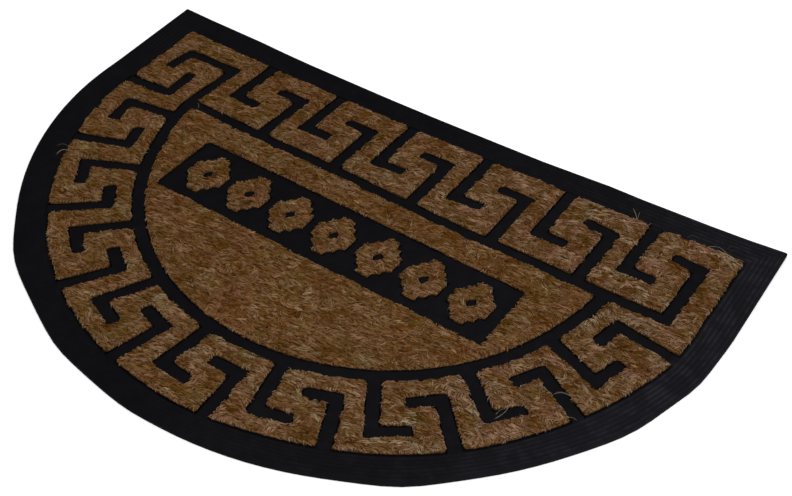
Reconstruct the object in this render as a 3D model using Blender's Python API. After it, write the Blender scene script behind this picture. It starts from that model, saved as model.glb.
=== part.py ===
"""Half-round doormat: woven coir in a Greek key border and a field, laid into a moulded rubber mat.

Plan points are measured from the middle of the half circle of coir, with +X along the straight edge
and +Y towards it. The finished solids are moved so that the origin is under the middle of the whole mat.
"""
import math

import bmesh
import bpy
from mathutils import Vector
from mathutils.geometry import tessellate_polygon

# Outline of the rubber, in metres: a half circle whose middle is a little off the pattern's, and a
# straight strip whose far edge bows a little
MAT_MIDDLE = Vector((-0.0026, 0.0081))
MAT_RADIUS = 0.3033
EDGE_LEFT = -0.3090
EDGE_RIGHT = 0.2985
EDGE_MIDDLE = 0.1040
EDGE_TILT = 0.0118
EDGE_BOW = 0.113

# Swells that make the outline uneven: how far each stands out, the place of its middle and its reach,
# by angle round the near edge (see polar) and by X along the far edge
NEAR_SWELLS = (
    (-0.0012, 0.0, 7.0),
    (0.0030, 51.5, 6.0),
    (0.0016, 71.0, 5.0),
    (0.0008, 86.0, 4.0),
    (0.0027, 125.0, 5.5),
    (0.0027, 157.0, 6.5),
    (0.0023, 169.0, 4.5),
)
FAR_SWELLS = ((0.0012, -0.225, 0.035), (0.0017, 0.140, 0.030), (-0.0011, 0.255, 0.030))

# Outline of the coir inside the ridged border, with swells by angle as above
PATTERN_MIDDLE = Vector((0.0, 0.0))
COIR_RADIUS = 0.2751
COIR_SWELLS = ((0.0020, 7.0, 8.0), (-0.0022, 108.0, 13.0), (-0.0008, 144.0, 7.0), (0.0029, 171.0, 9.0))
COIR_LEFT = -0.2780
COIR_RIGHT = 0.2754
COIR_MIDDLE = 0.0782
COIR_TILT = 0.0094
COIR_BOW = 0.083

# Ring rib between the key band and the field: an arc closed by a bar, with swells by angle on the arc
# and by X on the bar
RING_RADIUS = 0.2035
RING_SWELLS = ((0.0050, 0.0, 12.0), (0.0008, 108.0, 30.0), (-0.0019, 164.0, 17.0))
RING_FIRST_ANGLE = 1.1
RING_LAST_ANGLE = 177.7
BAR_SWELLS = ((-0.0010, -0.120, 0.050), (-0.0029, 0.055, 0.085))

# Key hooks of the straight row. Each is the X of its root, the X and Y of its bend, and the Y of its tip.
RIB_WIDTH = 0.0100
ARM = 0.0258
ROW_BORDER_HOOKS = (
    (-0.1799, -0.1819, 0.0268, 0.0264),
    (-0.1026, -0.1050, 0.0256, 0.0262),
    (-0.0269, -0.0277, 0.0222, 0.0246),
    (0.0488, 0.0484, 0.0222, 0.0236),
    (0.1257, 0.1257, 0.0232, 0.0236),
    (0.2010, 0.2010, 0.0248, 0.0264),
)
ROW_RING_HOOKS = (
    (-0.1303, -0.1287, 0.0540, 0.0536),
    (-0.0550, -0.0538, 0.0524, 0.0528),
    (0.0231, 0.0231, 0.0532, 0.0524),
    (0.0992, 0.0992, 0.0528, 0.0516),
    (0.1761, 0.1757, 0.0548, 0.0568),
)

# Key hooks round the half circle, from its right end to its left. Each is the angle of its root, the
# angle and radius of its bend, and the radius of its tip.
ARC_ARM_ANGLE = 6.3
ARC_BORDER_HOOKS = (
    (171.9, 171.8, 0.2271, 0.2275),
    (152.3, 152.6, 0.2263, 0.2266),
    (133.3, 133.1, 0.2284, 0.2297),
    (114.6, 114.8, 0.2285, 0.2280),
    (95.9, 96.4, 0.2293, 0.2294),
    (77.4, 77.8, 0.2290, 0.2289),
    (59.0, 59.4, 0.2278, 0.2280),
    (40.1, 40.2, 0.2281, 0.2278),
    (20.5, 20.4, 0.2272, 0.2271),
)
ARC_RING_HOOKS = (
    (159.0, 159.0, 0.2534, 0.2529),
    (139.6, 139.7, 0.2513, 0.2528),
    (121.0, 121.1, 0.2553, 0.2551),
    (102.6, 102.4, 0.2538, 0.2542),
    (84.3, 83.9, 0.2529, 0.2541),
    (66.0, 65.4, 0.2539, 0.2546),
    (47.1, 46.5, 0.2530, 0.2535),
    (27.8, 27.5, 0.2538, 0.2531),
    (7.3, 7.6, 0.2545, 0.2548),
)

# Hooks in the two far corners, and the one that stands at the left end of the half circle
LEFT_CORNER_HOOK = ((-0.2094, -0.0040), (-0.2060, 0.0550), (-0.2558, 0.0536), (-0.2587, 0.0262))
RIGHT_CORNER_HOOK = ((0.2005, -0.0081), (0.2517, -0.0070), (0.2517, 0.0583), (0.2268, 0.0593))
LEFT_END_HOOK = ((-0.2751, -0.0066), (-0.2334, -0.0037), (-0.2343, 0.0307))

# Panel in the field, and the stepped lozenges laid in it
PANEL_MIDDLE = Vector((-0.0045, -0.0724))
PANEL_WIDTH = 0.3120
PANEL_DEPTH = 0.0664
PANEL_TILT = -0.75
MOTIFS = 7
MOTIF_PITCH = 0.0427
MOTIF_STEPS = ((0.0060, 0.0225), (0.0115, 0.0155), (0.0170, 0.0085))
MOTIF_HOLE = (0.0050, 0.0070)

# Heights, and how far each step of a coir piece's rounded edge stands in from its side
BASE_TOP = 0.0022
RIB_TOP = 0.0048
BORDER_EDGE = 0.0038
RIDGE_FOOT = 0.0045
RIDGE_TOP = 0.0053
RIDGES = 6
COIR_CLEAR = 0.0006
COIR_FLOOR = BASE_TOP + 0.0003
COIR_LEVELS = ((COIR_FLOOR, 0.0), (0.0060, 0.0), (0.0073, 0.0014), (0.0080, 0.0040))
MOTIF_LEVELS = ((COIR_FLOOR, 0.0), (0.0058, 0.0), (0.0070, 0.0012), (0.0076, 0.0028))
ROOT = 0.0020
SUNK = 0.0010

# Fineness of the outlines
EDGE_STEPS = 20
ARC_STEPS = 72
BAR_STEPS = 14
RING_STEPS = 40
FILL_STEP = 0.0130

RUBBER_COLOUR = (0.0080, 0.0085, 0.0110, 1.0)
COIR_COLOUR = (0.120, 0.060, 0.022, 1.0)


def swell(place, swells):
    """How far the outline stands out at a place."""
    return sum(out * math.exp(-(((place - middle) / reach) ** 2)) for out, middle, reach in swells)


def edge_line(x):
    """Far edge of the rubber, as Y over X."""
    return EDGE_MIDDLE + EDGE_TILT * x + EDGE_BOW * x * x + swell(x, FAR_SWELLS)


def mat_radius(angle):
    """Radius of the rubber's near edge."""
    return MAT_RADIUS + swell(angle, NEAR_SWELLS)


def coir_radius(angle):
    """Radius of the coir's place in the rubber."""
    return COIR_RADIUS + swell(angle, COIR_SWELLS)


def coir_line(x):
    """Far edge of the coir's place in the rubber, as Y over X."""
    return COIR_MIDDLE + COIR_TILT * x + COIR_BOW * x * x


def band_far_line(x):
    """Far edge of the key band."""
    return coir_line(x) - COIR_CLEAR


def polar(angle, radius):
    """A plan point, by its angle in degrees from the left end of the half circle round the near edge."""
    turn = math.radians(angle)
    return Vector((-radius * math.cos(turn), -radius * math.sin(turn)))


def angle_of(point):
    """The angle that polar would take for this point."""
    return math.degrees(math.atan2(-point.y, -point.x))


def border_radius(angle):
    """Radius of the key band's outer edge."""
    return coir_radius(angle) - COIR_CLEAR


def ring_radius(angle):
    """Radius of the ring rib's middle line, which opens a little at its left end."""
    return RING_RADIUS + swell(angle, RING_SWELLS)


def band_inner_radius(angle):
    """Radius of the key band's inner edge."""
    return ring_radius(angle) + RIB_WIDTH / 2.0 + COIR_CLEAR


def ring_corner(angle):
    """A corner of the ring rib's middle line."""
    return polar(angle, ring_radius(angle))


def ring_line(x):
    """Middle of the ring rib's bar, as Y over X: a slope that sags a little."""
    left, right = ring_corner(RING_FIRST_ANGLE), ring_corner(RING_LAST_ANGLE)
    slope = (right.y - left.y) / (right.x - left.x)
    return left.y + slope * (x - left.x) + swell(x, BAR_SWELLS)


def band_near_line(x):
    """The key band's edge along the ring's straight bar."""
    return ring_line(x) + RIB_WIDTH / 2.0 + COIR_CLEAR


def half_round(middle, radius_at, left, right, line):
    """A closed outline: the far edge from left to right, then the half circle back to the left."""
    points = []
    for i in range(EDGE_STEPS + 1):
        x = left + (right - left) * i / EDGE_STEPS
        points.append(Vector((x, line(x))))
    for i in range(ARC_STEPS + 1):
        angle = 180.0 - 180.0 * i / ARC_STEPS
        points.append(middle + polar(angle, radius_at(angle)))
    return points


def mat_outline():
    """The rubber's outer edge."""
    return half_round(MAT_MIDDLE, mat_radius, EDGE_LEFT, EDGE_RIGHT, edge_line)


def left_of(direction):
    """The unit vector a quarter turn to the left."""
    unit = direction.normalized()
    return Vector((-unit.y, unit.x))


def shifted(loop, distance):
    """A closed outline moved to its own left, with mitred corners."""
    moved = []
    for i, point in enumerate(loop):
        arriving = left_of(point - loop[i - 1])
        leaving = left_of(loop[(i + 1) % len(loop)] - point)
        moved.append(point + (arriving + leaving) * (distance / (1.0 + arriving.dot(leaving))))
    return moved


def signed_area(loop):
    return sum(loop[i - 1].x * p.y - p.x * loop[i - 1].y for i, p in enumerate(loop)) / 2.0


def turning_left(loop):
    """The outline in the order that keeps its inside on the left."""
    return loop if signed_area(loop) > 0.0 else loop[::-1]


def hook_sides(path, half_width):
    """The left side of a hook's rib from root to tip, and its right side back to the root."""
    points = [Vector(p) for p in path]
    sides = ([], [])
    for i, point in enumerate(points):
        arriving = left_of(point - points[i - 1]) if i else None
        leaving = left_of(points[i + 1] - point) if i + 1 < len(points) else arriving
        arriving = arriving or leaving
        mitre = (arriving + leaving) * (half_width / (1.0 + arriving.dot(leaving)))
        sides[0].append(point + mitre)
        sides[1].append(point - mitre)
    if half_width > RIB_WIDTH / 2.0:
        tip = (points[-1] - points[-2]).normalized() * (half_width - RIB_WIDTH / 2.0)
        sides[0][-1] += tip
        sides[1][-1] += tip
    return sides[0] + sides[1][::-1]


def row_border_hooks():
    hooks = []
    for root_x, x, y, tip_y in ROW_BORDER_HOOKS:
        hooks.append(((root_x, band_far_line(root_x)), (x, y), (x + ARM, tip_y)))
    return hooks


def row_ring_hooks():
    hooks = []
    for root_x, x, y, tip_y in ROW_RING_HOOKS:
        hooks.append(((root_x, band_near_line(root_x)), (x, y), (x - ARM, tip_y)))
    return hooks


def arc_border_hooks():
    """From the right end of the half circle round to its left end."""
    hooks = []
    for root_angle, angle, radius, tip_radius in ARC_BORDER_HOOKS:
        root = polar(root_angle, border_radius(root_angle))
        hooks.append((root, polar(angle, radius), polar(angle - ARC_ARM_ANGLE, tip_radius)))
    hooks.append(LEFT_END_HOOK)
    return hooks


def arc_ring_hooks():
    """From the right end of the half circle round to its left end."""
    hooks = []
    for root_angle, angle, radius, tip_radius in ARC_RING_HOOKS:
        root = polar(root_angle, band_inner_radius(root_angle))
        hooks.append((root, polar(angle, radius), polar(angle + ARC_ARM_ANGLE, tip_radius)))
    return hooks


def ring_middle():
    """The ring rib's middle line: its bar from left to right, then its arc back to the left."""
    left, right = ring_corner(RING_FIRST_ANGLE), ring_corner(RING_LAST_ANGLE)
    points = [left]
    for i in range(1, BAR_STEPS):
        x = left.x + (right.x - left.x) * i / BAR_STEPS
        points.append(Vector((x, ring_line(x))))
    for i in range(RING_STEPS):
        angle = RING_LAST_ANGLE + (RING_FIRST_ANGLE - RING_LAST_ANGLE) * i / RING_STEPS
        points.append(ring_corner(angle))
    return turning_left(points)


def along_row(start, end, line):
    """Points between two places on a nearly straight edge."""
    count = max(1, round((end.x - start.x) / FILL_STEP))
    xs = [start.x + (end.x - start.x) * i / count for i in range(1, count)]
    return [Vector((x, line(x))) for x in xs]


def along_arc(start, end, radius_at):
    """Points between two places on an arc that runs towards its left end."""
    first, last = angle_of(start), angle_of(end)
    count = max(1, round((end - start).length / FILL_STEP))
    angles = [first + (last - first) * i / count for i in range(1, count)]
    return [polar(angle, radius_at(angle)) for angle in angles]


def band_outside():
    """The key band's outer outline, clockwise from its far left corner, round every border hook."""
    half = RIB_WIDTH / 2.0 + COIR_CLEAR
    left, right = COIR_LEFT + COIR_CLEAR, COIR_RIGHT - COIR_CLEAR
    loop = [Vector((left, band_far_line(left)))]
    for hook in row_border_hooks():
        sides = hook_sides(hook, half)[::-1]
        loop += along_row(loop[-1], sides[0], band_far_line) + sides
    corner = Vector((right, band_far_line(right)))
    loop += along_row(loop[-1], corner, band_far_line) + [corner]
    loop.append(polar(180.0, border_radius(180.0)))
    for hook in arc_border_hooks():
        sides = hook_sides(hook, half)[::-1]
        loop += along_arc(loop[-1], sides[0], border_radius) + sides
    return loop


def band_inside():
    """The key band's inner outline, clockwise from the ring's left corner, round every ring hook."""
    half = RIB_WIDTH / 2.0 + COIR_CLEAR
    loop = hook_sides(LEFT_CORNER_HOOK, half)
    loop[0].y -= 2.0 * ROOT
    loop[-1].y = band_near_line(loop[-1].x)
    for hook in row_ring_hooks():
        sides = hook_sides(hook, half)
        loop += along_row(loop[-1], sides[0], band_near_line) + sides
    right_hook = hook_sides(RIGHT_CORNER_HOOK, half)
    right_hook[-1].x = polar(RING_LAST_ANGLE, band_inner_radius(RING_LAST_ANGLE)).x
    loop += along_row(loop[-1], right_hook[0], band_near_line) + right_hook[1:]
    for hook in arc_ring_hooks():
        sides = hook_sides(hook, half)
        loop += along_arc(loop[-1], sides[0], band_inner_radius) + sides
    return loop


def panel_point(x, y):
    """A point of the panel's own frame in the plan."""
    turn = math.radians(PANEL_TILT)
    along = Vector((math.cos(turn), math.sin(turn)))
    return PANEL_MIDDLE + along * x + Vector((-along.y, along.x)) * y


def panel_outline(margin):
    """The panel's rectangle, made larger by a margin."""
    x, y = PANEL_WIDTH / 2.0 + margin, PANEL_DEPTH / 2.0 + margin
    return [panel_point(*p) for p in ((-x, -y), (x, -y), (x, y), (-x, y))]


def motif_outline(index):
    """One stepped lozenge, with its inside on the left."""
    quarter = []
    for i, (x, y) in enumerate(MOTIF_STEPS):
        if i:
            quarter.append((MOTIF_STEPS[i - 1][0], y))
        quarter.append((x, y))
    shape = []
    for across, up in ((1, 1), (1, -1), (-1, -1), (-1, 1)):
        corner = [(across * x, up * y) for x, y in quarter]
        shape += corner if across == up else corner[::-1]
    middle = (index - (MOTIFS - 1) / 2.0) * MOTIF_PITCH
    return turning_left([panel_point(middle + x, y) for x, y in shape])


def motif_hole(index):
    """The small lozenge of rubber in the middle of a motif."""
    middle = (index - (MOTIFS - 1) / 2.0) * MOTIF_PITCH
    x, y = MOTIF_HOLE
    return [panel_point(middle + dx, dy) for dx, dy in ((x, 0.0), (0.0, y), (-x, 0.0), (0.0, -y))]


def add_walls(bm, rings):
    """Quads between neighbouring rings of vertices."""
    for lower, upper in zip(rings, rings[1:]):
        for i in range(len(lower)):
            bm.faces.new((lower[i - 1], lower[i], upper[i], upper[i - 1]))


def add_cap(bm, rings):
    """Triangles over an outline and its holes."""
    corners = [v for ring in rings for v in ring]
    for triangle in tessellate_polygon([[v.co for v in ring] for ring in rings]):
        bm.faces.new([corners[i] for i in triangle])


def add_slab(bm, outline, holes, levels):
    """A closed solid through levels of (height, inset), on an outline with holes."""
    loops = [turning_left(outline)] + [turning_left(hole)[::-1] for hole in holes]
    rings = []
    for loop in loops:
        rings.append([[bm.verts.new((p.x, p.y, z)) for p in shifted(loop, inset)] for z, inset in levels])
    for ring in rings:
        add_walls(bm, ring)
    add_cap(bm, [ring[0] for ring in rings])
    add_cap(bm, [ring[-1] for ring in rings])


def mesh_object(name, bm, material):
    """An object from a bmesh, moved so that the origin is under the middle of the mat."""
    bmesh.ops.translate(bm, verts=bm.verts, vec=plan_shift())
    bmesh.ops.recalc_face_normals(bm, faces=bm.faces)
    mesh = bpy.data.meshes.new(name)
    bm.to_mesh(mesh)
    bm.free()
    if material:
        mesh.materials.append(material)
    obj = bpy.data.objects.new(name, mesh)
    bpy.context.collection.objects.link(obj)
    return obj


def plan_shift():
    """From the pattern's middle to the middle of the mat's own box."""
    xs, ys = zip(*mat_outline())
    return Vector((-(min(xs) + max(xs)) / 2.0, -(min(ys) + max(ys)) / 2.0, 0.0))


def surface_material(name, colour, roughness):
    material = bpy.data.materials.new(name)
    material.use_nodes = True
    shader = material.node_tree.nodes["Principled BSDF"]
    shader.inputs["Base Color"].default_value = colour
    shader.inputs["Roughness"].default_value = roughness
    shader.inputs["Metallic"].default_value = 0.0
    return material


def ridged_tray():
    """The rubber's base sheet and its border, whose fine ridges follow the edge."""
    outer = turning_left(mat_outline())
    inner = turning_left(half_round(PATTERN_MIDDLE, coir_radius, COIR_LEFT, COIR_RIGHT, coir_line))
    stations = [(0.0, 0.0), (0.0, BORDER_EDGE)]
    for i in range(2 * RIDGES + 1):
        stations.append(((i + 0.5) / (2 * RIDGES + 1), RIDGE_TOP if i % 2 else RIDGE_FOOT))
    stations += [(1.0, RIDGE_FOOT), (1.0, BASE_TOP)]
    bm = bmesh.new()
    rings = []
    for share, height in stations:
        plan = [a.lerp(b, share) for a, b in zip(outer, inner)]
        rings.append([bm.verts.new((p.x, p.y, height)) for p in plan])
    add_walls(bm, rings)
    bm.faces.new(rings[0])
    bm.faces.new(rings[-1])
    return bm


def rib_solids():
    """Every rib that stands on the base sheet: the ring, the hooks and the panel round its motifs."""
    bm = bmesh.new()
    levels = ((BASE_TOP - SUNK, 0.0), (RIB_TOP, 0.0))
    middle = ring_middle()
    half = RIB_WIDTH / 2.0
    add_slab(bm, shifted(middle, -half), [shifted(middle, half)], levels)
    hooks = row_border_hooks() + row_ring_hooks() + arc_border_hooks() + arc_ring_hooks()
    for path in hooks + [LEFT_CORNER_HOOK, RIGHT_CORNER_HOOK]:
        root, bend = Vector(path[0]), Vector(path[1])
        deeper = root + (root - bend).normalized() * ROOT
        add_slab(bm, hook_sides((deeper, *path[1:]), half), [], levels)
    pockets = [shifted(motif_outline(i), -COIR_CLEAR) for i in range(MOTIFS)]
    add_slab(bm, panel_outline(0.0), pockets, levels)
    for i in range(MOTIFS):
        add_slab(bm, shifted(turning_left(motif_hole(i)), COIR_CLEAR), [], levels)
    return bm


def make_rubber_mat(rubber):
    """The moulded rubber: the tray joined with all its ribs."""
    mat = mesh_object("rubber_mat", ridged_tray(), rubber)
    ribs = mesh_object("rib_guide", rib_solids(), None)
    ribs.hide_render = True
    ribs.display_type = "WIRE"
    union = mat.modifiers.new("ribs", "BOOLEAN")
    union.operation = "UNION"
    union.solver = "EXACT"
    union.use_self = True
    union.object = ribs


def make_coir_key_band(coir):
    bm = bmesh.new()
    add_slab(bm, band_outside(), [band_inside()], COIR_LEVELS)
    mesh_object("coir_key_band", bm, coir)


def make_coir_field(coir):
    """The half-round field, with the opening for the panel."""
    bm = bmesh.new()
    outline = shifted(ring_middle(), RIB_WIDTH / 2.0 + COIR_CLEAR)
    add_slab(bm, outline, [panel_outline(COIR_CLEAR)], COIR_LEVELS)
    mesh_object("coir_field", bm, coir)


def make_coir_motifs(coir):
    for i in range(MOTIFS):
        bm = bmesh.new()
        add_slab(bm, motif_outline(i), [motif_hole(i)], MOTIF_LEVELS)
        mesh_object(f"coir_motif_{i + 1}", bm, coir)


def main():
    for obj in list(bpy.data.objects):
        bpy.data.objects.remove(obj)
    rubber = surface_material("rubber", RUBBER_COLOUR, 0.6)
    coir = surface_material("coir", COIR_COLOUR, 0.9)
    make_rubber_mat(rubber)
    make_coir_key_band(coir)
    make_coir_field(coir)
    make_coir_motifs(coir)


main()
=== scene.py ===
"""Looks of a half-round doormat: coir in a Greek key pattern, set in moulded black rubber, lying flat.

The rubber gets rounded edges and a matt, slightly dusty finish. Every pad of coir gets a lumpy woven
body and thousands of real strands laid over it, with more of them bent over its rims, and a few pale
hairs lie loose on the rubber.
"""
import math

import bmesh
import bpy
import numpy as np
from mathutils import Matrix, Vector
from mathutils.bvhtree import BVHTree


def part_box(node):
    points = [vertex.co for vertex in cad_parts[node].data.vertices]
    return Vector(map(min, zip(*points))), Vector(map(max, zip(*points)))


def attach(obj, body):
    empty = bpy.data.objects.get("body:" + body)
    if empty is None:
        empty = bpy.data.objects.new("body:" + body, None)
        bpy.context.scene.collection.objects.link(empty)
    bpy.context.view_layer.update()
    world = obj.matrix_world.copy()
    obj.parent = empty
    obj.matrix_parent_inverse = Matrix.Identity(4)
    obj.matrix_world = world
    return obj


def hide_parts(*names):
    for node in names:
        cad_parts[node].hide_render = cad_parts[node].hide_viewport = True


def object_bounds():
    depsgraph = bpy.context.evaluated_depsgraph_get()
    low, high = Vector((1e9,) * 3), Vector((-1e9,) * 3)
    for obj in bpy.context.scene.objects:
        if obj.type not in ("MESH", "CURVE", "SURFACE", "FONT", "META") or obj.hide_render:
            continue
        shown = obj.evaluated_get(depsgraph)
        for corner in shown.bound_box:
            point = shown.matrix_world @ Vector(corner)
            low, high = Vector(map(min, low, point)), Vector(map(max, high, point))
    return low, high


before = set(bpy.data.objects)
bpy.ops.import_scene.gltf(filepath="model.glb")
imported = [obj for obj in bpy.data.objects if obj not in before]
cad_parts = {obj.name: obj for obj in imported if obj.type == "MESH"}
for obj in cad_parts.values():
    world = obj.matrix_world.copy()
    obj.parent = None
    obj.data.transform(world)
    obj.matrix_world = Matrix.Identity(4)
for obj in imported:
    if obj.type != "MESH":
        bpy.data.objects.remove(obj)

CAD_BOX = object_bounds()
BODY = "root"

# Middle of the key pattern, from the near left corner of the rubber's box, and heights, in metres
MIDDLE_FROM_LEFT, MIDDLE_FROM_NEAR = 0.3090, 0.2956
RUBBER_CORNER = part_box("rubber_mat")[0]
MIDDLE = Vector((RUBBER_CORNER.x + MIDDLE_FROM_LEFT, RUBBER_CORNER.y + MIDDLE_FROM_NEAR, 0))
COIR_TOP = CAD_BOX[1].z
RIB_TOP = 0.0048
RIDGE_TOP = 0.0053

# Camera: its place and aim from that middle, and its lens
CAMERA_PLACE = MIDDLE + Vector((0.4629, -0.7098, 0.7261))
CAMERA_AIM = MIDDLE + Vector((0.0448, -0.0577, 0.0073))
CAMERA_ROLL = math.radians(1.636)
LENS_MM = 61.71
FILM_MM = 36.0

# Studio: a pale floor just under the mat, an even surround, and soft lights as place, side and power
FLOOR_REACH = 12
FLOOR_DROP = 0.0003
SURROUND_POWER = 0.62
KEY_LIGHT = ((1.1, -0.9, 1.5), 0.8, 36)
SOFT_FILL = ((-1.3, 0.6, 1.6), 1.4, 12)

# Rubber: radius of its moulded edges, and the sharpest turn that counts as one
EDGE_ROUND = 0.0008
EDGE_TURN = math.radians(35)

# Where a painted sheen greys the rubber, in metres: the coir's outer radius and far edge from the middle,
# and how grey all of it, and then its border, gets over which stretch of X
COIR_RADIUS = (0.272, 0.278)
COIR_FAR = (0.077, 0.084)
SHEEN_ALL, SHEEN_ALL_X = 0.15, (-0.05, 0.12)
SHEEN_BORDER, SHEEN_BORDER_X = 0.43, (0.14, 0.30)

# How much of that painted sheen each kind of place takes; on the raised ridges it is a painted highlight
SHEEN_EVEN, SHEEN_CLOUDS, SHEEN_BLOTCHES, RIDGE_HIGHLIGHT = 0.42, 0.22, 0.22, 2.1
BLOTCH_EVERYWHERE = 0.05
DUSTY_MOST = 0.6

# Fineness of the finishes, in waves to a metre, and the depth of their bumps in metres
RUBBER_CLOUDS, RUBBER_BLOTCHES = 26, 110
DUST_SPECKS, DUST_CLOUDS = 900, 45
RUBBER_GRAIN, RUBBER_PORES, RUBBER_BUMP = 1500, 260, 0.00018
COIR_STREAKS, COIR_BUMP = (160, 1100, 500), 0.0006
STRAND_FLECKS = 620

# Weave of the coir: bricked rows of floats along the straight edge, each float a twisted bundle. A lump
# of height FLOAT_LEVEL leaves the pad as high as it is. Here and below, each row of PATCHES, DRIFT or
# SWINGS gives a strength, the size of the patches in metres and a seed
WEAVE_ANGLE = math.radians(5)
WEAVE_DRIFT = ((0.0042, 0.038, 21), (0.0042, 0.038, 22))
FLOAT_LENGTH = 0.0092
FLOAT_WIDTH = 0.0043
FLOAT_RISE = 0.0015
FLOAT_LEVEL = 0.8
FLOAT_ROWS, FLOAT_COLUMNS = 160, 80
FLOAT_SEED = 11
FLOAT_UNEVEN = 0.22
TWIST = math.radians(6)
SWINGS = ((math.radians(16), 0.040, 31), (math.radians(14), 0.011, 32))
FLOAT_SWING = math.radians(15)
CROSSED_BELOW = -1.35
CROSSED_TURN = math.radians(-80)

# Body of a coir pad, in metres
BODY_VOXEL = 0.0019
EDGE_WANDER = 0.0018
EDGE_PATCHES = ((1.0, 0.0065, 41), (0.5, 0.0028, 42))
EDGE_SPREAD = 0.0004
CORNER_ROUNDS = 8
MOTIF_SOFTNESS = 0.35
RELIEF_STEP = 0.0008

# Strands, in metres. A strand's steps are its four points as shares of its length
BAND_STRANDS = 33000
FIELD_STRANDS = 17500
MOTIF_STRANDS = 460
MOTIFS = 7
STRANDS_PER_PIECE = 16000
STRAND_WIDTH = 0.00056
STRAND_ROUNDNESS = 0.62
STRAND_STEPS = np.array([-0.5, -0.2, 0.2, 0.5])
# Painted shade on both ends of every strand, as where they dive into the weave
TIP_SHADE = 0.55

# Strands on a pad's top lie in tufts. A bound tuft keeps to its float, and the others lie more freely
TUFT = 4
BOUND_SHARE = 0.80
BOUND_PULL = 0.28
BOUND_LENGTHS = (0.55, 0.95)
FREE_LENGTHS = (0.006, 0.014)
FREE_TURN = 2.5
TUFT_TURN = math.radians(8)
TUFT_WAVE, WAVE_SPREAD = 0.0006, 0.0002
TUFT_BEND = 0.10
TUFT_LIFT = (0.0, 0.0008)

# How the strands of one tuft differ
TURN_SPREAD = math.radians(5)
LENGTH_SHARES = (0.8, 1.1)
LIFT_SPREAD = 0.00015
ASIDE_SPREAD = 0.00055
AHEAD_SPREAD = 0.0012
SHADE_SPREAD = 0.08
WIDTH_SPREAD = 0.28
SHORTENED = (0.7, 0.6, 0.5)
BOUND_DIP, FREE_DIP = -0.0003, 0.0001
MOST_SAG = 0.0003
RAISED_SHARE = 0.03
RAISED_BY, RAISED_MOST = 0.0013, 0.004

# Strands bent over a pad's rim: on the top, on the rim, down the side, and their end
RIM_STRANDS_PER_METRE = 1150
RIM_SLOPE = 0.6
RIM_BELOW_TOP = 0.0010
RIM_JITTER = 0.0007
RIM_SLANT = 0.0018
RIM_PATCHES = (0.0015, 0.0034, 57)
TOP_INSET = (0.0012, 0.0040)
TOP_RISE = (-0.0002, 0.0005)
RIM_INSET = 0.0002
RIM_HEIGHT = COIR_TOP - 0.0009
RIM_RISE = (-0.0004, 0.0003)
SIDE_OUT = (0.0001, 0.0007)
SIDE_HEIGHTS = (RIB_TOP + 0.0007, COIR_TOP - 0.0014)
END_OUT = (0.0001, 0.0013)
END_DROP = (0.0003, 0.0014)
END_OVER_RIB = 0.0003
RIM_WIDTH_SPREAD = 0.25
# Painted highlight on the rim strands, as a share of straw colour
RIM_HIGHLIGHT = 0.12

# Loose hairs: both ends from the pattern's middle, how far the hair bows to its left, its end's height
# and its tone
HAIRS = (
    ((0.1853, 0.0790), (0.1760, 0.0895), -0.0003, 0.0090, 1.1),
    ((0.1848, 0.0801), (0.1823, 0.0895), -0.0001, 0.0085, 0.9),
    ((0.1947, 0.0761), (0.1962, 0.0830), -0.0002, 0.0080, 1.0),
    ((0.2267, 0.0821), (0.2364, 0.0889), 0.0035, 0.0060, 0.2),
    ((0.2438, 0.0821), (0.2609, 0.0836), 0.0032, 0.0085, 0.8),
    ((0.2576, 0.0911), (0.2667, 0.0974), 0.0040, 0.0058, 0.2),
    ((0.2620, 0.0850), (0.2711, 0.0921), 0.0071, 0.0058, 0.15),
    ((0.2184, -0.1209), (0.2302, -0.1150), 0.0018, 0.0080, 0.7),
    ((0.2186, -0.1185), (0.2322, -0.1158), 0.0020, 0.0080, 0.5),
    ((0.2309, -0.1162), (0.2363, -0.1174), 0.0010, 0.0085, 1.0),
    ((0.1958, -0.1636), (0.1989, -0.1478), -0.0021, 0.0085, 0.9),
    ((0.1951, -0.1598), (0.1989, -0.1500), 0.0009, 0.0080, 0.7),
    ((0.2369, -0.1345), (0.2433, -0.1306), 0.0011, 0.0065, 0.7),
    ((-0.2467, -0.1159), (-0.2508, -0.1253), -0.0016, 0.0070, 1.0),
    ((-0.2489, -0.1125), (-0.2591, -0.1173), -0.0022, 0.0070, 0.3),
    ((-0.2010, -0.0030), (-0.1950, -0.0090), 0.0010, 0.0080, 0.5),
)
HAIR_WIDTH = 0.00034
HAIR_WIDTH_SHARES = (0.8, 1.2)
HAIR_STOPS = 10
HAIR_ARCH = 0.0012
FLAT_HAIR_BELOW = 0.006

# Colours, linear
TAN = (0.156, 0.0800, 0.0310)
RED_BROWN = (0.138, 0.0605, 0.0240)
OLIVE = (0.127, 0.0780, 0.0275)
STRAW = (0.250, 0.158, 0.076)
HAIR = (0.2550, 0.1955, 0.1360)
# Painted shade: the dark brown of the coir deep under the strands
SHADED_GAP_BROWN = (0.032, 0.0130, 0.0036)
BLACK_RUBBER = (0.0028, 0.0028, 0.0034, 1)
# Grey of the rubber's painted sheen, and of its blotches all over
SHEEN_AND_BLOTCH_RUBBER = (0.0145, 0.0145, 0.0185, 1)
DUST = (0.022, 0.018, 0.015, 1)
FLOOR_COLOUR = (0.93, 0.93, 0.93, 1)

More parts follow.
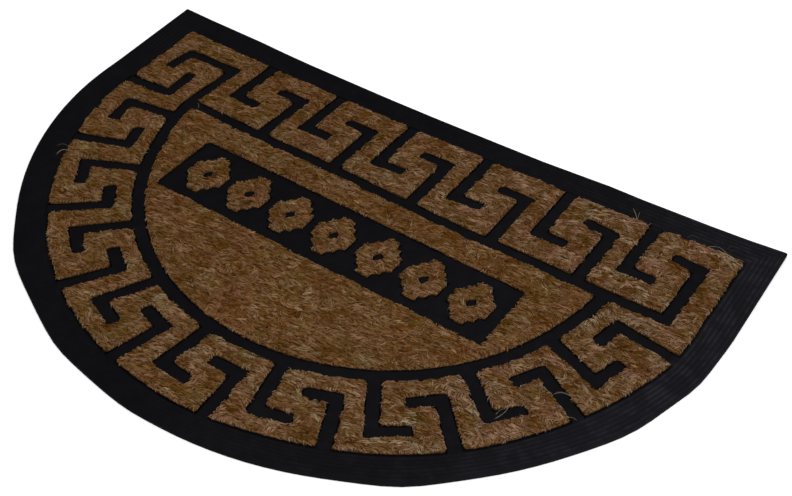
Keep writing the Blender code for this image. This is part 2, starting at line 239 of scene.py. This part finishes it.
# How the coir's brown varies over its patches, from float to float and from strand to strand. GAP_SHADE
# and CROWN_LIGHT paint shade into the gaps between floats, lightest on their crowns. A tone past PALE_FROM
# is held back
RED_SHARE, RED_PATCHES = 0.5, (0.6, 0.026, 51)
OLIVE_SHARE, OLIVE_PATCHES = 0.35, (0.6, 0.021, 52)
OLIVE_MOST = 0.6
HUE_SPREAD = 0.15
TONE, TONE_SPREAD = 0.02, 0.12
TONE_PATCHES = ((0.33, 0.011, 53), (0.30, 0.0065, 56))
FLOAT_TONE = 0.25
GAP_SHADE, CROWN_LIGHT = 0.42, 0.63
PALE_FROM, PALE_HOLD = 0.10, 0.35
TONE_OF_CHANNELS = (0.76, 1.08, 2.40)
GREEN_PATCHES, BLUE_PATCHES = (1.0, 0.0095, 54), (1.0, 0.0085, 55)
GREEN_ON_RED, GREEN_ON_GREEN, BLUE_ON_BLUE = -0.05, 0.11, 0.12
MOST_BLUE = 0.50
STRAW_CHANCE, STRAW_SHARES = 0.10, (0.1, 0.7)

# Painted sheen on the coir: more contrast, paler channels and more blue. It grows to the right over a
# length in metres, and a little even at the left
SHEEN_CONTRAST = 0.40
SHEEN_CHANNELS = (0.14, 0.26, 0.74)
SHEEN_BLUE = 0.10
SHEEN_LENGTH = 0.4
SHEEN_LEAST = 0.1

# Flat sizes of the sheets, width by depth, and the area each covers
BAND_FLAT, BAND_AREA = (0.5533, 0.3607), 0.0657
FIELD_FLAT, FIELD_AREA = (0.3982, 0.1887), 0.0353
MOTIF_FLAT, MOTIF_AREA = (0.0342, 0.0452), 0.0010

UP = np.array([0.0, 0.0, 1.0])


# Smooth noise and the weave's plan

def patches(x, y, strength, size, seed):
    """Smooth noise over the plan, up to that strength both ways, in patches of about that size."""
    count = 64
    lattice = np.random.default_rng(seed).uniform(-1, 1, (count, count))
    u, v = x / size + count, y / size + count
    column, row = np.floor(u).astype(int), np.floor(v).astype(int)
    s, t = u - column, v - row
    s, t = s * s * (3 - 2 * s), t * t * (3 - 2 * t)
    left, right = column % count, (column + 1) % count
    low, high = row % count, (row + 1) % count
    bottom = lattice[left, low] * (1 - s) + lattice[right, low] * s
    top = lattice[left, high] * (1 - s) + lattice[right, high] * s
    return strength * (bottom * (1 - t) + top * t)


def layered(x, y, rows):
    """The sum of a few such noises."""
    return sum(patches(x, y, *row) for row in rows)


# Four random numbers for each float: for its height, its swing, its tone and whether it lies across
FLOAT_TABLE = np.random.default_rng(FLOAT_SEED).normal(0, 1, (FLOAT_ROWS, FLOAT_COLUMNS, 4))


def float_at(x, y):
    """The float under each point: its own random numbers, and the place in it along and across, -1 to 1."""
    x, y = x - MIDDLE.x, y - MIDDLE.y
    x = x + patches(x, y, *WEAVE_DRIFT[0])
    y = y + patches(x, y, *WEAVE_DRIFT[1])
    u = x * math.cos(WEAVE_ANGLE) + y * math.sin(WEAVE_ANGLE)
    v = y * math.cos(WEAVE_ANGLE) - x * math.sin(WEAVE_ANGLE)
    v = v / FLOAT_WIDTH + FLOAT_ROWS
    row = np.floor(v).astype(int)
    u = u / FLOAT_LENGTH + FLOAT_COLUMNS + 0.5 * (row % 2)
    column = np.floor(u).astype(int)
    own = FLOAT_TABLE[row % FLOAT_ROWS, column % FLOAT_COLUMNS]
    return own, 2 * (u - column) - 1, 2 * (v - row) - 1


def crown_at(along, across):
    """How high a place is on its float: 0 at the float's rim, 1 in its middle."""
    return (1 - along ** 4) * (1 - across ** 2)


def float_height(x, y):
    """Height of the woven lumps over their gaps, 0 to about 1."""
    own, along, across = float_at(x, y)
    return crown_at(along, across) * (1 + FLOAT_UNEVEN * np.clip(own[:, 0], -2, 2))


def strand_angle(x, y, own):
    """Direction of the strands of each float, in radians from +X: slanted by the twist, or crossed."""
    swing = layered(x, y, SWINGS)
    crossed = np.where(own[:, 3] < CROSSED_BELOW, CROSSED_TURN, 0)
    return WEAVE_ANGLE + TWIST + swing + crossed + FLOAT_SWING * np.clip(own[:, 1], -2, 2)


# Meshes

def add_piece(name, mesh, surface):
    """A shown piece with that mesh, riding on the mat's body."""
    piece = bpy.data.objects.new(name, mesh)
    bpy.context.scene.collection.objects.link(piece)
    mesh.materials.clear()
    mesh.materials.append(surface)
    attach(piece, BODY)
    return piece


def baked(mesh, name, kind, **settings):
    """The mesh after one modifier."""
    carrier = bpy.data.objects.new(name + "_carrier", mesh)
    bpy.context.scene.collection.objects.link(carrier)
    modifier = carrier.modifiers.new(name, kind)
    for setting, value in settings.items():
        setattr(modifier, setting, value)
    graph = bpy.context.evaluated_depsgraph_get()
    result = bpy.data.meshes.new_from_object(carrier.evaluated_get(graph))
    result.name = name
    bpy.data.objects.remove(carrier)
    return result


def joined_copy(node, name):
    """A copy of a CAD node's mesh with its split corners joined and its flat faces whole."""
    mesh = bpy.data.meshes.new(name)
    work = bmesh.new()
    work.from_mesh(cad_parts[node].data)
    same_point, flat = 1e-5, math.radians(0.5)
    bmesh.ops.remove_doubles(work, verts=work.verts, dist=same_point)
    bmesh.ops.dissolve_limit(work, angle_limit=flat, verts=work.verts, edges=work.edges)
    work.to_mesh(mesh)
    work.free()
    return mesh


def points_of(mesh):
    """The mesh's points, one in each row."""
    places = np.empty(len(mesh.vertices) * 3)
    mesh.vertices.foreach_get("co", places)
    return places.reshape(-1, 3)


def set_points(mesh, places):
    """Moves the mesh's points to those places."""
    mesh.vertices.foreach_set("co", places.ravel())
    mesh.update()


def make_rubber(surface):
    """The rubber with its moulded edges rounded."""
    mesh = joined_copy("rubber_mat", "rubber_mat_moulded")
    mesh = baked(mesh, "moulded_rubber", "BEVEL", width=EDGE_ROUND, segments=2, limit_method="ANGLE",
                 angle_limit=EDGE_TURN, use_clamp_overlap=False)
    mesh.polygons.foreach_set("use_smooth", [True] * len(mesh.polygons))
    mesh = baked(mesh, "moulded_rubber", "WEIGHTED_NORMAL", mode="FACE_AREA", weight=100)
    piece = add_piece("moulded_rubber", mesh, surface)
    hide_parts("rubber_mat")
    return piece


def make_coir_body(node, name, surface, softness):
    """A coir pad's own form: lumps of weave on top, and corners and sides as soft as asked."""
    rounds = round(CORNER_ROUNDS * softness)
    mesh = baked(joined_copy(node, name), name, "REMESH", mode="VOXEL", voxel_size=BODY_VOXEL)
    mesh = baked(mesh, name, "SMOOTH", factor=0.5, iterations=rounds, use_z=False)
    places = points_of(mesh)
    normals = np.array([v.normal[:] for v in mesh.vertices])
    x, y, z = places.T
    high = np.clip((z - RIB_TOP) / (COIR_TOP - RIB_TOP), 0, 1)
    facing_up = np.clip(normals[:, 2] * 1.6, 0, 1)
    rise = FLOAT_RISE * (float_height(x, y) - FLOAT_LEVEL) * facing_up * high
    wander = EDGE_WANDER * layered(x, y, EDGE_PATCHES)
    wander = (wander * softness + EDGE_SPREAD) * np.clip(high * 2, 0, 1)
    places[:, 0] += normals[:, 0] * wander
    places[:, 1] += normals[:, 1] * wander
    places[:, 2] += rise
    set_points(mesh, places)
    mesh.polygons.foreach_set("use_smooth", [True] * len(mesh.polygons))
    piece = add_piece(name, mesh, surface)
    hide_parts(node)
    return piece


class Relief:
    """Heights of a piece's upper face on a fine grid over the plan."""

    def __init__(self, piece):
        points, step = points_of(piece.data), RELIEF_STEP
        self.low, self.high = points.min(0), points.max(0)
        across, deep = (np.ceil((self.high - self.low)[:2] / step).astype(int) + 1).tolist()
        self.heights = np.zeros((across, deep))
        left, near, ceiling = float(self.low[0]), float(self.low[1]), float(self.high[2]) + 0.01
        tree = BVHTree.FromPolygons(points.tolist(), [p.vertices[:] for p in piece.data.polygons])
        for i in range(across):
            for j in range(deep):
                hit = tree.ray_cast((left + i * step, near + j * step, ceiling), (0, 0, -1))[0]
                if hit is not None:
                    self.heights[i, j] = hit.z

    def at(self, x, y):
        """Height at each point, or 0 where there is nothing."""
        i = np.rint((x - self.low[0]) / RELIEF_STEP).astype(int)
        j = np.rint((y - self.low[1]) / RELIEF_STEP).astype(int)
        on = (i >= 0) & (j >= 0) & (i < self.heights.shape[0]) & (j < self.heights.shape[1])
        found = np.zeros(len(x))
        found[on] = self.heights[i[on], j[on]]
        return found


# Strands

def unit(vectors):
    """The vectors at length 1."""
    return vectors / np.maximum(np.linalg.norm(vectors, axis=-1, keepdims=True), 1e-12)


def blend(first, second, share):
    """Colours between two colours."""
    return np.array(first) * (1 - share) + np.array(second) * share


def strand_mesh(name, paths, widths, spins, colours):
    """Closed three-sided strands with pointed ends, each along its four path points, in one mesh."""
    count, points, last = len(paths), 8, 7
    start, near, far, end = (paths[:, k] for k in range(4))
    along = unit(far - near)
    side = unit(np.cross(UP, along))
    lift = np.cross(along, side)
    turns = spins[:, None] + np.arange(3) * (2 * math.pi / 3)
    half = widths[:, None, None] / 2
    sideways = np.cos(turns)[..., None] * side[:, None]
    upwards = STRAND_ROUNDNESS * np.sin(turns)[..., None] * lift[:, None]
    ring = half * (sideways + upwards)
    places = [start[:, None], near[:, None] + ring, far[:, None] + ring, end[:, None]]
    places = np.concatenate(places, axis=1)
    thirds = [(1, 2), (2, 3), (3, 1)]
    corners = []
    corners += [(0, b, a) for a, b in thirds]
    corners += [(a, b, b + 3, a + 3) for a, b in thirds]
    corners += [(last, a + 3, b + 3) for a, b in thirds]
    loops = np.array([c for face in corners for c in face])
    sizes = np.array([len(face) for face in corners])
    starts = np.concatenate([[0], np.cumsum(sizes)[:-1]])
    each = np.arange(count)[:, None]
    mesh = bpy.data.meshes.new(name)
    mesh.vertices.add(count * points)
    mesh.vertices.foreach_set("co", places.ravel())
    mesh.loops.add(count * len(loops))
    mesh.loops.foreach_set("vertex_index", (loops + points * each).ravel())
    mesh.polygons.add(count * len(sizes))
    mesh.polygons.foreach_set("loop_start", (starts + len(loops) * each).ravel())
    mesh.polygons.foreach_set("use_smooth", [True] * (count * len(sizes)))
    mesh.update(calc_edges=True)
    shade = np.ones((count, points, 4))
    shade[..., :3] = colours[:, None]
    # Painted shade on both ends of each strand
    shade[:, [0, last], :3] *= TIP_SHADE
    paint = mesh.color_attributes.new("strand_colour", "FLOAT_COLOR", "POINT")
    paint.data.foreach_set("color", shade.ravel())
    mesh.validate()
    return mesh


def strand_colours(rng, x, y, own, crown, coir_sheen):
    """Brown of each strand: in patches, toned by float, with painted shade in the gaps between floats, and
    some straw. Under the painted sheen it is paler and bluer, and its strands differ more."""
    count = len(x)
    red = RED_SHARE + patches(x, y, *RED_PATCHES) + rng.normal(0, HUE_SPREAD, count)
    olive = OLIVE_SHARE + patches(x, y, *OLIVE_PATCHES) + rng.normal(0, HUE_SPREAD, count)
    brown = blend(TAN, RED_BROWN, np.clip(red, 0, 1)[:, None])
    brown = blend(brown, OLIVE, OLIVE_MOST * np.clip(olive, 0, 1)[:, None])
    tone = rng.normal(TONE, TONE_SPREAD, count) + FLOAT_TONE * own[:, 2]
    tone += layered(x, y, TONE_PATCHES)
    # Painted shade darkens the strands in the gaps between floats
    tone = tone * (1 + SHEEN_CONTRAST * coir_sheen) + np.log(GAP_SHADE + CROWN_LIGHT * np.sqrt(crown))
    tone -= PALE_HOLD * np.maximum(tone - PALE_FROM, 0)
    brown *= np.exp(tone[:, None] * TONE_OF_CHANNELS)
    # Painted sheen: paler and bluer towards the right
    brown *= np.exp(coir_sheen[:, None] * SHEEN_CHANNELS)
    green, blue = patches(x, y, *GREEN_PATCHES), patches(x, y, *BLUE_PATCHES)
    brown *= np.exp(np.stack([GREEN_ON_RED * green, GREEN_ON_GREEN * green, BLUE_ON_BLUE * blue], axis=1))
    brown[:, 2] = np.minimum(brown[:, 2], (MOST_BLUE + SHEEN_BLUE * coir_sheen) * brown[:, 1])
    straw = (rng.random(count) < STRAW_CHANCE) * rng.uniform(*STRAW_SHARES, count)
    return blend(brown, STRAW, straw[:, None])


def sheen_on(x, amount):
    """How strong the painted sheen on the coir is: more towards the right end, by that amount."""
    return amount * np.clip(0.5 + (x - MIDDLE.x) / SHEEN_LENGTH, SHEEN_LEAST, 1)


def scatter(rng, relief, wanted, tries):
    """That many random points on a pad's top, from as many tries as it takes."""
    x, y = np.empty(0), np.empty(0)
    while len(x) < wanted:
        new_x = rng.uniform(relief.low[0], relief.high[0], tries)
        new_y = rng.uniform(relief.low[1], relief.high[1], tries)
        on = relief.at(new_x, new_y) > 0
        x, y = np.append(x, new_x[on]), np.append(y, new_y[on])
    return x[:wanted], y[:wanted]


def four_points(middle, angle, length, bend, wave):
    """Four points of each strand in plan: along its angle, bowed and waved to its side."""
    ahead = np.stack([np.cos(angle), np.sin(angle)], axis=1)
    aside = np.stack([-ahead[:, 1], ahead[:, 0]], axis=1)
    places = middle[:, None] + ahead[:, None] * (STRAND_STEPS[:, None] * length[:, None, None])
    arch = (STRAND_STEPS ** 2)[:, None] * 4 * bend[:, None, None]
    snake = np.array([0, 1, -1, 0])[:, None] * wave[:, None, None]
    return places + aside[:, None] * (arch + snake)


def lay_strands(rng, relief, count, coir_sheen):
    """Strands over a pad's top, in tufts that follow its floats: paths, widths, spins and colours."""
    x, y = scatter(rng, relief, count // TUFT, count)
    tufts = len(x)
    own, along, across = float_at(x, y)
    bound = rng.random(tufts) < BOUND_SHARE
    crown = np.clip(crown_at(along, across), 0, 1)
    pull = np.where(bound, BOUND_PULL, 0.0) * across * FLOAT_WIDTH / 2
    x = x + pull * math.sin(WEAVE_ANGLE)
    y = y - pull * math.cos(WEAVE_ANGLE)
    angle = strand_angle(x, y, own) + rng.normal(0, TUFT_TURN, tufts) * np.where(bound, 1, FREE_TURN)
    bound_length = rng.uniform(*BOUND_LENGTHS, tufts) * FLOAT_LENGTH
    length = np.where(bound, bound_length, rng.uniform(*FREE_LENGTHS, tufts))
    wave = TUFT_WAVE * own[:, 0] + rng.normal(0, WAVE_SPREAD, tufts)
    bend = rng.normal(0, TUFT_BEND, tufts) * length
    colours = strand_colours(rng, x, y, own, crown, sheen_on(x, coir_sheen))
    lift = rng.uniform(*TUFT_LIFT, tufts)

    count = tufts * TUFT
    of_tufts = (x, y, angle, length, bend, wave, lift, bound)
    x, y, angle, length, bend, wave, lift, bound = (np.repeat(v, TUFT) for v in of_tufts)
    colours = np.repeat(colours, TUFT, axis=0) * np.exp(rng.normal(0, SHADE_SPREAD, count))[:, None]
    angle = angle + rng.normal(0, TURN_SPREAD, count)
    length = length * rng.uniform(*LENGTH_SHARES, count)
    lift = lift + rng.normal(0, LIFT_SPREAD, count)
    ahead = np.stack([np.cos(angle), np.sin(angle)], axis=1)
    aside = np.stack([-ahead[:, 1], ahead[:, 0]], axis=1)
    middle = np.stack([x, y], axis=1) + aside * rng.normal(0, ASIDE_SPREAD, count)[:, None]
    middle = middle + ahead * rng.normal(0, AHEAD_SPREAD, count)[:, None]

    for shorter in SHORTENED:
        spots = four_points(middle, angle, length, bend, wave)
        off = np.minimum(relief.at(*spots[:, 0].T), relief.at(*spots[:, 3].T)) <= 0
        length = np.where(off, length * shorter, length)
    spots = four_points(middle, angle, length, bend, wave)
    under = np.stack([relief.at(*spots[:, k].T) for k in range(4)], axis=1)
    kept = under.min(1) > 0
    dip = np.where(bound, BOUND_DIP, FREE_DIP)
    z = under + np.stack([dip, lift, lift, dip], axis=1)
    z[:, 1:3] = np.maximum(z[:, 1:3], z[:, 1:3].mean(1)[:, None] - MOST_SAG)
    raised = rng.random(count) < RAISED_SHARE
    z[:, 3] += raised * rng.exponential(RAISED_BY, count).clip(0, RAISED_MOST)
    paths = np.concatenate([spots, z[..., None]], axis=2)
    widths = STRAND_WIDTH * np.exp(rng.normal(0, WIDTH_SPREAD, count))
    spins = rng.uniform(0, 2 * math.pi, count)
    return paths[kept], widths[kept], spins[kept], colours[kept]


def rim_feet(rng, mesh):
    """Random points on a pad's sides, as many as its rim is long for, and the way out from each."""
    count = len(mesh.polygons)
    middles, normals, areas = np.empty(count * 3), np.empty(count * 3), np.empty(count)
    mesh.polygons.foreach_get("center", middles)
    mesh.polygons.foreach_get("normal", normals)
    mesh.polygons.foreach_get("area", areas)
    middles, normals = middles.reshape(-1, 3), normals.reshape(-1, 3)
    low, high = RIB_TOP, COIR_TOP - RIM_BELOW_TOP
    sides = (np.abs(normals[:, 2]) < RIM_SLOPE) & (middles[:, 2] > low) & (middles[:, 2] < high)
    wanted = int(areas[sides].sum() / (high - low) * RIM_STRANDS_PER_METRE)
    pick = rng.choice(np.flatnonzero(sides), wanted, p=areas[sides] / areas[sides].sum())
    return middles[pick], unit(normals[pick] * (1, 1, 0))


def bend_over_rim(rng, body, relief, coir_sheen):
    """Strands that come over a pad's rim and down its side."""
    foot, out = rim_feet(rng, body.data)
    wanted = len(foot)

    def between(limits):
        return rng.uniform(*limits, wanted)

    tangent = np.stack([-out[:, 1], out[:, 0], out[:, 2]], axis=1)
    foot = foot + tangent * between((-RIM_JITTER, RIM_JITTER))[:, None]
    x, y = foot[:, 0], foot[:, 1]
    slant = rng.normal(0, RIM_SLANT, wanted)[:, None] * tangent
    top = foot - out * between(TOP_INSET)[:, None] - slant * 0.8
    rim = foot - out * RIM_INSET - slant * 0.15
    reach = np.maximum(patches(x, y, *RIM_PATCHES), 0)
    side = foot + out * (between(SIDE_OUT) + 0.6 * reach)[:, None] + slant * 0.3
    end = foot + out * (between(END_OUT) + reach)[:, None] + slant * 0.9
    top_height = relief.at(*top[:, :2].T)
    kept = top_height > RIB_TOP
    top[:, 2] = top_height + between(TOP_RISE)
    rim[:, 2] = np.minimum(top_height, RIM_HEIGHT) + between(RIM_RISE)
    side[:, 2] = between(SIDE_HEIGHTS)
    end[:, 2] = np.maximum(side[:, 2] - between(END_DROP), RIB_TOP + END_OVER_RIB * (reach > 0))
    paths = np.stack([top, rim, side, end], axis=1)
    widths = STRAND_WIDTH * np.exp(rng.normal(0, RIM_WIDTH_SPREAD, wanted))
    own, _, _ = float_at(x, y)
    colours = strand_colours(rng, x, y, own, np.ones(wanted), sheen_on(x, coir_sheen))
    # Painted highlight on the rim: the strands are blended towards straw
    colours = blend(colours, STRAW, RIM_HIGHLIGHT)
    spins = rng.uniform(0, 2 * math.pi, wanted)
    return paths[kept], widths[kept], spins[kept], colours[kept]


def loose_hairs(rng):
    """Each loose hair as a chain of bowed strands that overlap, so that it runs on unbroken."""
    paths, widths, colours = [], [], []
    for start, end, bow, height, tone in HAIRS:
        start, end = Vector(start), Vector(end)
        aside = Vector((start.y - end.y, end.x - start.x)).normalized()
        lies_flat = height < FLAT_HAIR_BELOW
        stops = []
        for share in np.linspace(0, 1, HAIR_STOPS):
            place = start.lerp(end, share) + aside * (bow * 4 * share * (1 - share))
            level = COIR_TOP * (1 - share) + height * share + HAIR_ARCH * math.sin(math.pi * share)
            stops.append((MIDDLE.x + place.x, MIDDLE.y + place.y, height if lies_flat else level))
        width = HAIR_WIDTH * rng.uniform(*HAIR_WIDTH_SHARES)
        for first in range(HAIR_STOPS - 3):
            paths.append(stops[first:first + 4])
            widths.append(width)
            colours.append(np.array(HAIR) * tone)
    return np.array(paths), np.array(widths), np.zeros(len(paths)), np.array(colours)


def add_strands(name, groups, surface):
    """Pieces that hold all of these strands, none past its share of triangles."""
    paths, widths, spins, colours = (np.concatenate(parts) for parts in zip(*groups))
    pieces = []
    for number, first in enumerate(range(0, len(paths), STRANDS_PER_PIECE), 1):
        share = slice(first, first + STRANDS_PER_PIECE)
        mesh = strand_mesh(f"{name}_{number}", paths[share], widths[share], spins[share], colours[share])
        pieces.append(add_piece(f"{name}_{number}", mesh, surface))
    return pieces


# Shader arithmetic

class Link:
    """One output of a shader node. Arithmetic on it adds Math nodes."""

    def __init__(self, maker, socket):
        self.maker = maker
        self.socket = socket

    def math(self, operation, first, second):
        return self.maker.node("ShaderNodeMath", {"operation": operation}, {0: first, 1: second})

    def __add__(self, other):
        return self.math("ADD", self, other)

    def __sub__(self, other):
        return self.math("SUBTRACT", self, other)

    def __rsub__(self, other):
        return self.math("SUBTRACT", other, self)

    def __mul__(self, other):
        return self.math("MULTIPLY", self, other)

    def __pow__(self, other):
        return self.math("POWER", self, other)

    def __rpow__(self, other):
        return self.math("POWER", other, self)

    __radd__ = __add__
    __rmul__ = __mul__

    def band(self, low, high):
        """0 below low, 1 above high, smooth between them."""
        settings = {"interpolation_type": "SMOOTHSTEP"}
        sockets = {0: self, 1: low, 2: high, 3: 0.0, 4: 1.0}
        return self.maker.node("ShaderNodeMapRange", settings, sockets)


class Finish:
    """A material with one Principled shader."""

    def __init__(self, name, **even):
        self.material = bpy.data.materials.new(name)
        self.material.use_nodes = True
        self.tree = self.material.node_tree
        self.tree.nodes.clear()
        self.shader = self.tree.nodes.new("ShaderNodeBsdfPrincipled")
        output = self.tree.nodes.new("ShaderNodeOutputMaterial")
        self.tree.links.new(self.shader.outputs[0], output.inputs[0])
        for socket, value in even.items():
            self.set(socket.replace("_", " "), value)

    def feed(self, socket, value):
        """Gives a socket a link or a value."""
        if isinstance(value, Link):
            self.tree.links.new(value.socket, socket)
        else:
            socket.default_value = value

    def set(self, socket, value):
        """Gives one of the shader's sockets a link or a value."""
        self.feed(self.shader.inputs[socket], value)

    def node(self, kind, settings, sockets, output=0):
        """Any node: its settings first, then the values or links of its sockets."""
        made = self.tree.nodes.new(kind)
        for setting, value in settings.items():
            setattr(made, setting, value)
        for socket, value in sockets.items():
            self.feed(made.inputs[socket], value)
        return Link(self, made.outputs[output])

    def place(self):
        """Each point's place on the object, in metres."""
        return self.node("ShaderNodeTexCoord", {}, {}, "Object")

    def axis(self, place, letter):
        """One coordinate of the place."""
        return self.node("ShaderNodeSeparateXYZ", {}, {"Vector": place}, letter)

    def turned(self, place, angle, scale):
        """The place turned about Z and stretched."""
        sockets = {"Vector": place, "Rotation": (0, 0, angle), "Scale": scale}
        return self.node("ShaderNodeMapping", {"vector_type": "TEXTURE"}, sockets)

    def noise(self, place, scale, detail, roughness=0.55):
        """Smooth noise of that many waves to a metre, 0 to 1."""
        sockets = {"Vector": place, "Scale": scale, "Detail": detail, "Roughness": roughness}
        return self.node("ShaderNodeTexNoise", {}, sockets)

    def mix(self, share, first, second):
        """Colour between two colours."""
        sockets = {0: share, 6: first, 7: second}
        return self.node("ShaderNodeMix", {"data_type": "RGBA"}, sockets, 2)

    def tint(self, colour, tone):
        """A colour times a value."""
        return self.node("ShaderNodeVectorMath", {"operation": "SCALE"}, {0: colour, "Scale": tone})

    def bump(self, height, distance, strength):
        """Bumps of that height over the whole surface."""
        sockets = {"Height": height, "Distance": distance, "Strength": strength}
        self.set("Normal", self.node("ShaderNodeBump", {}, sockets))


def opaque(colour):
    """The colour with an alpha of 1."""
    return (*colour, 1)


def rubber_finish():
    """Matt black rubber with a fine grain, grey blotches and dust specks. A painted sheen greys it towards
    its right end, most on its border, with painted highlights on its raised ridges.
    """
    finish = Finish("moulded_rubber", Specular_IOR_Level=0.01)
    place = finish.place()
    height = finish.axis(place, "Z")
    cloudy = finish.noise(place, RUBBER_CLOUDS, 4).band(0.38, 0.68)
    blotchy = finish.noise(place, RUBBER_BLOTCHES, 3).band(0.40, 0.70)
    across = finish.axis(place, "X")
    right, far = across - MIDDLE.x, finish.axis(place, "Y") - MIDDLE.y
    from_middle = (right ** 2 + far ** 2) ** 0.5
    inside = (1 - from_middle.band(*COIR_RADIUS)) * (1 - far.band(*COIR_FAR))
    # Painted sheen: greyer towards the right end, and more so on the border
    shade = SHEEN_ALL * across.band(*SHEEN_ALL_X)
    shade = shade + SHEEN_BORDER * (1 - inside) * across.band(*SHEEN_BORDER_X)
    # Painted highlight on the tops of the raised ridges
    ridges = height.band(RIB_TOP + 0.0001, RIDGE_TOP) * (0.3 + 0.7 * blotchy)
    takes = SHEEN_EVEN + SHEEN_CLOUDS * cloudy + SHEEN_BLOTCHES * blotchy + RIDGE_HIGHLIGHT * ridges
    base = finish.mix(shade * takes + BLOTCH_EVERYWHERE * blotchy, BLACK_RUBBER, SHEEN_AND_BLOTCH_RUBBER)
    specks = finish.noise(place, DUST_SPECKS, 2).band(0.66, 0.78)
    dusty = specks * finish.noise(place, DUST_CLOUDS, 2).band(0.45, 0.65)
    finish.set("Base Color", finish.mix(dusty * DUSTY_MOST, base, DUST))
    finish.set("Roughness", 0.62 + 0.20 * cloudy)
    grain = finish.noise(place, RUBBER_GRAIN, 3)
    finish.bump(grain + finish.noise(place, RUBBER_PORES, 3), RUBBER_BUMP, 0.6)
    return finish.material


def body_finish():
    """The coir below the strands: streaky and rough, its dark streaks a painted shade of the deep weave."""
    finish = Finish("pressed_coir", Roughness=0.9, Specular_IOR_Level=0.0)
    place = finish.place()
    along = finish.turned(place, WEAVE_ANGLE, [1 / waves for waves in COIR_STREAKS])
    streaks = finish.noise(along, 1.0, 4, 0.6)
    brown = finish.mix(streaks.band(0.40, 0.66), opaque(SHADED_GAP_BROWN), opaque(TAN))
    finish.set("Base Color", brown)
    finish.bump(streaks, COIR_BUMP, 0.8)
    return finish.material


def strand_finish():
    """A coir strand in its own colour, a little darker and lighter along its length."""
    finish = Finish("coir_strands", Roughness=0.8, Specular_IOR_Level=0.0)
    own = finish.node("ShaderNodeAttribute", {"attribute_name": "strand_colour"}, {}, "Color")
    flecks = finish.noise(finish.place(), STRAND_FLECKS, 2)
    finish.set("Base Color", finish.tint(own, 0.62 + 0.76 * flecks))
    return finish.material


def floor_finish():
    """Plain pale paint."""
    return Finish("pale_floor", Base_Color=FLOOR_COLOUR, Roughness=0.9, Specular_IOR_Level=0.1).material


# Stage

def add_camera():
    """The camera of the photo's view, from its place, aim, roll and lens."""
    camera = bpy.data.objects.new("camera", bpy.data.cameras.new("camera"))
    bpy.context.scene.collection.objects.link(camera)
    camera.data.lens = LENS_MM
    camera.data.sensor_width = FILM_MM
    camera.data.clip_end = 50
    ahead = (CAMERA_AIM - CAMERA_PLACE).normalized()
    level = ahead.cross(Vector(UP)).normalized()
    upright = level.cross(ahead)
    right = level * math.cos(CAMERA_ROLL) + upright * math.sin(CAMERA_ROLL)
    above = right.cross(ahead)
    turn = Matrix((right, above, -ahead)).transposed().to_4x4()
    camera.matrix_world = Matrix.Translation(CAMERA_PLACE) @ turn
    bpy.context.scene.camera = camera


def add_light(name, place, side, power):
    """A square light that faces the mat."""
    light = bpy.data.objects.new(name, bpy.data.lights.new(name, "AREA"))
    bpy.context.scene.collection.objects.link(light)
    light.data.shape = "SQUARE"
    light.data.size = side
    light.data.energy = power
    light.location = place
    light.rotation_euler = (-Vector(place)).to_track_quat("-Z", "Y").to_euler()


def add_stage():
    """A pale floor under soft studio light."""
    mesh = bpy.data.meshes.new("floor")
    corners = [(x * FLOOR_REACH, y * FLOOR_REACH, 0) for x, y in ((-1, -1), (1, -1), (1, 1), (-1, 1))]
    mesh.from_pydata(corners, [], [(0, 1, 2, 3)])
    mesh.materials.append(floor_finish())
    floor = bpy.data.objects.new("floor", mesh)
    floor.location.z = -FLOOR_DROP
    bpy.context.scene.collection.objects.link(floor)
    world = bpy.data.worlds.new("studio")
    world.use_nodes = True
    background = world.node_tree.nodes["Background"]
    background.inputs["Color"].default_value = (1, 1, 1, 1)
    background.inputs["Strength"].default_value = SURROUND_POWER
    bpy.context.scene.world = world
    add_light("key_light", *KEY_LIGHT)
    add_light("soft_fill", *SOFT_FILL)
    bpy.context.scene.view_settings.view_transform = "Standard"


def add_coir(node, label, strands, flat, area, seed, softness, coir_sheen, surfaces, rubber):
    """One pad of coir: its body and its strands."""
    pressed, stranded = surfaces
    pad = make_coir_body(node, label + "_pad", pressed, softness)
    rng = np.random.default_rng(seed)
    relief = Relief(pad)
    groups = [lay_strands(rng, relief, strands, coir_sheen), bend_over_rim(rng, pad, relief, coir_sheen)]
    laid = add_strands(label + "_strands", groups, stranded)


def main():
    add_camera()
    add_stage()
    rubber = make_rubber(rubber_finish())
    surfaces = body_finish(), strand_finish()
    hairs = add_strands("loose_hairs", [loose_hairs(np.random.default_rng(60))], surfaces[1])
    # Node, label, strands, flat size, area, seed, softness of the corners and how much painted sheen
    pads = [
        ("coir_key_band", "key_band", BAND_STRANDS, BAND_FLAT, BAND_AREA, 61, 1.0, 1.0),
        ("coir_field", "field", FIELD_STRANDS, FIELD_FLAT, FIELD_AREA, 62, 1.0, 0.0),
    ]
    for n in range(1, MOTIFS + 1):
        node, label = f"coir_motif_{n}", f"motif_{n}"
        pads.append((node, label, MOTIF_STRANDS, MOTIF_FLAT, MOTIF_AREA, 70 + n, MOTIF_SOFTNESS, 0.5))
    for pad in pads:
        add_coir(*pad, surfaces, rubber)


main()
